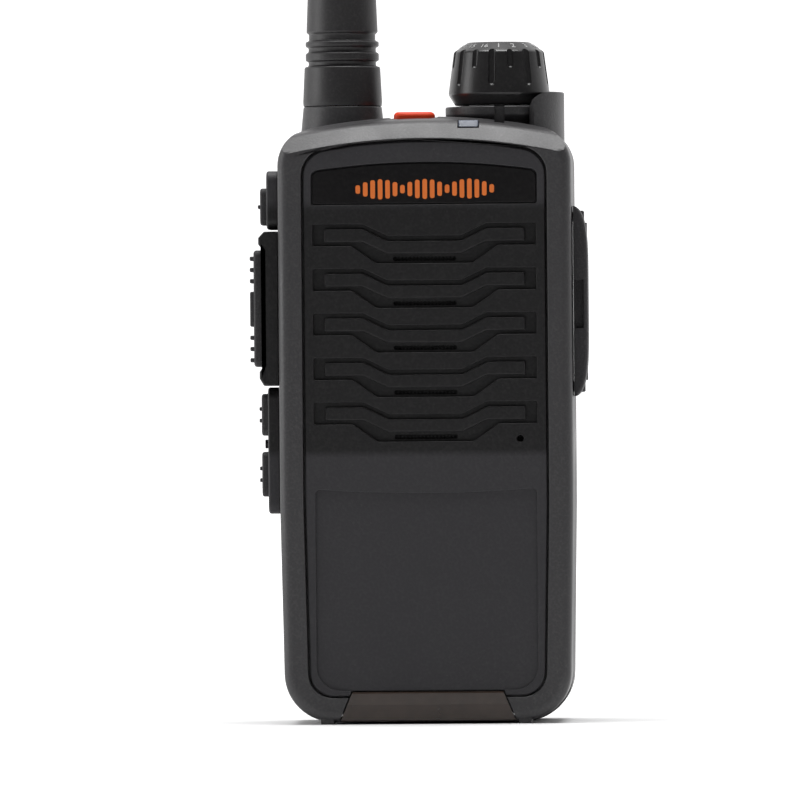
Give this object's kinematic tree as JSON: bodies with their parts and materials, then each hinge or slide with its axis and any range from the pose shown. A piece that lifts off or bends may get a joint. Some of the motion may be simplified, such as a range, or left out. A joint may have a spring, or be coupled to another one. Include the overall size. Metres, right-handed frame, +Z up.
{
  "type": "two way radio",
  "caption": "Hand-held two way radio with a screw-on antenna, channel knob, side keys, jack cover and clip-on battery pack.",
  "frame": {"origin": "middle of the base, on the plane it stands on", "axes": "+Z up along the antenna, +Y out of the battery's back, so the speaker faces -Y and the push to talk key is at -X"},
  "size_m": [0.0693, 0.036, 0.222],
  "materials": {
    "housing_plastic": "fine-grained charcoal moulding",
    "panel_plastic": "fine-grained black moulding",
    "name_plate": "glossy black with a soft dimple",
    "key_rubber": "satin rubber",
    "antenna_rubber": "moulded rubber sheath",
    "seal_rubber": "smooth seal",
    "knob_plastic": "polished black with white dial numbers",
    "orange_plastic": "satin orange",
    "smoked_plastic": "polished smoke brown",
    "lens_plastic": "milky light pipe",
    "status_light": "clear chip",
    "inner_plastic": "plain moulding",
    "steel": "plated steel",
    "switch_metal": "tinned sheet",
    "brass": "gold-plated brass",
    "chassis_alloy": "die-cast",
    "circuit_board": "solder-masked laminate",
    "cone_paper": "pressed paper",
    "speaker_felt": "acoustic felt",
    "cell_wrap": "heat-shrink wrap"
  },
  "bodies": {
    "radio": {"front_housing": "housing_plastic", "front_panel": "panel_plastic", "upper_key_frame": "panel_plastic", "lower_key_frame": "panel_plastic", "ptt_frame": "panel_plastic", "name_plate": "name_plate", "chassis_seal": "seal_rubber", "light_pipe": "lens_plastic", "status_light": "status_light", "contact_block": "inner_plastic", "channel_switch": "inner_plastic", "accessory_socket": "inner_plastic", "chassis_screw_1": "steel", "chassis_screw_2": "steel", "chassis_screw_3": "steel", "chassis_screw_4": "steel", "latch_pin": "steel", "cover_hinge_pin": "steel", "channel_nut": "steel", "speaker_basket": "steel", "speaker_magnet": "steel", "ptt_switch": "switch_metal", "side_key_switch": "switch_metal", "volume_up_key_switch": "switch_metal", "volume_down_key_switch": "switch_metal", "top_button_switch": "switch_metal", "shield_can": "switch_metal", "microphone": "switch_metal", "antenna_socket": "brass", "contact_pin_1": "brass", "contact_pin_2": "brass", "chassis": "chassis_alloy", "main_board": "circuit_board", "side_board": "circuit_board", "top_board": "circuit_board", "speaker_cone": "cone_paper", "speaker_cloth": "speaker_felt"},
    "antenna_ring": {"antenna_seal": "seal_rubber"},
    "antenna": {"antenna_sheath": "antenna_rubber", "antenna_connector": "brass", "antenna_coil": "brass"},
    "channel_knob": {"channel_knob": "knob_plastic", "channel_shaft": "steel"},
    "top_button": {"top_button": "orange_plastic"},
    "ptt_button": {"ptt_button": "key_rubber"},
    "side_key": {"side_key": "key_rubber"},
    "volume_up_key": {"volume_up_key": "key_rubber"},
    "volume_down_key": {"volume_down_key": "key_rubber"},
    "accessory_cover": {"accessory_cover": "key_rubber"},
    "base_latch": {"base_latch": "smoked_plastic"},
    "battery": {"battery_case": "housing_plastic", "battery_lid": "panel_plastic", "battery_cells": "cell_wrap", "battery_board": "circuit_board", "battery_contact_1": "brass", "battery_contact_2": "brass", "charge_contact_1": "brass", "charge_contact_2": "brass", "clip_screw_1": "steel", "clip_screw_2": "steel"}
  },
  "joints": [
    {"name": "antenna_release", "type": "slide", "parent": "radio", "child": "antenna_ring", "axis": [0, 0, 1], "range_m": [0, 0.01]},
    {"name": "antenna_turn", "type": "hinge", "parent": "antenna_ring", "child": "antenna", "pos_m": [-0.0174, 0.004, 0.1271], "axis": [0, 0, 1], "range_deg": [0, 1800]},
    {"name": "channel_turn", "type": "hinge", "parent": "radio", "child": "channel_knob", "pos_m": [0.0149, 0.004, 0.1267], "axis": [0, 0, 1], "range_deg": [-337.5, 0]},
    {"name": "top_button_press", "type": "slide", "parent": "radio", "child": "top_button", "axis": [0, 0, -1], "range_m": [0, 0.0009], "stiffness_N_per_m": 1500, "springref_m": -0.0005},
    {"name": "ptt_press", "type": "slide", "parent": "radio", "child": "ptt_button", "axis": [1, 0, 0], "range_m": [0, 0.0012], "stiffness_N_per_m": 1500, "springref_m": -0.0006},
    {"name": "side_key_press", "type": "slide", "parent": "radio", "child": "side_key", "axis": [1, 0, 0], "range_m": [0, 0.0008], "stiffness_N_per_m": 1500, "springref_m": -0.0005},
    {"name": "volume_up_press", "type": "slide", "parent": "radio", "child": "volume_up_key", "axis": [1, 0, 0], "range_m": [0, 0.0008], "stiffness_N_per_m": 1500, "springref_m": -0.0005},
    {"name": "volume_down_press", "type": "slide", "parent": "radio", "child": "volume_down_key", "axis": [1, 0, 0], "range_m": [0, 0.0008], "stiffness_N_per_m": 1500, "springref_m": -0.0005},
    {"name": "cover_hinge", "type": "hinge", "parent": "radio", "child": "accessory_cover", "pos_m": [0.03175, -0.0019, 0.0667], "axis": [0, 0, 1], "range_deg": [0, 120]},
    {"name": "latch_hinge", "type": "hinge", "parent": "radio", "child": "base_latch", "pos_m": [0, -0.0165, 0.002], "axis": [1, 0, 0], "range_deg": [0, 45], "stiffness_Nm_per_rad": 0.02, "springref_deg": -11.46},
    {"name": "battery_release", "type": "slide", "parent": "radio", "child": "battery", "axis": [0, 1, 0], "range_m": [0, 0.045]}
  ]
}
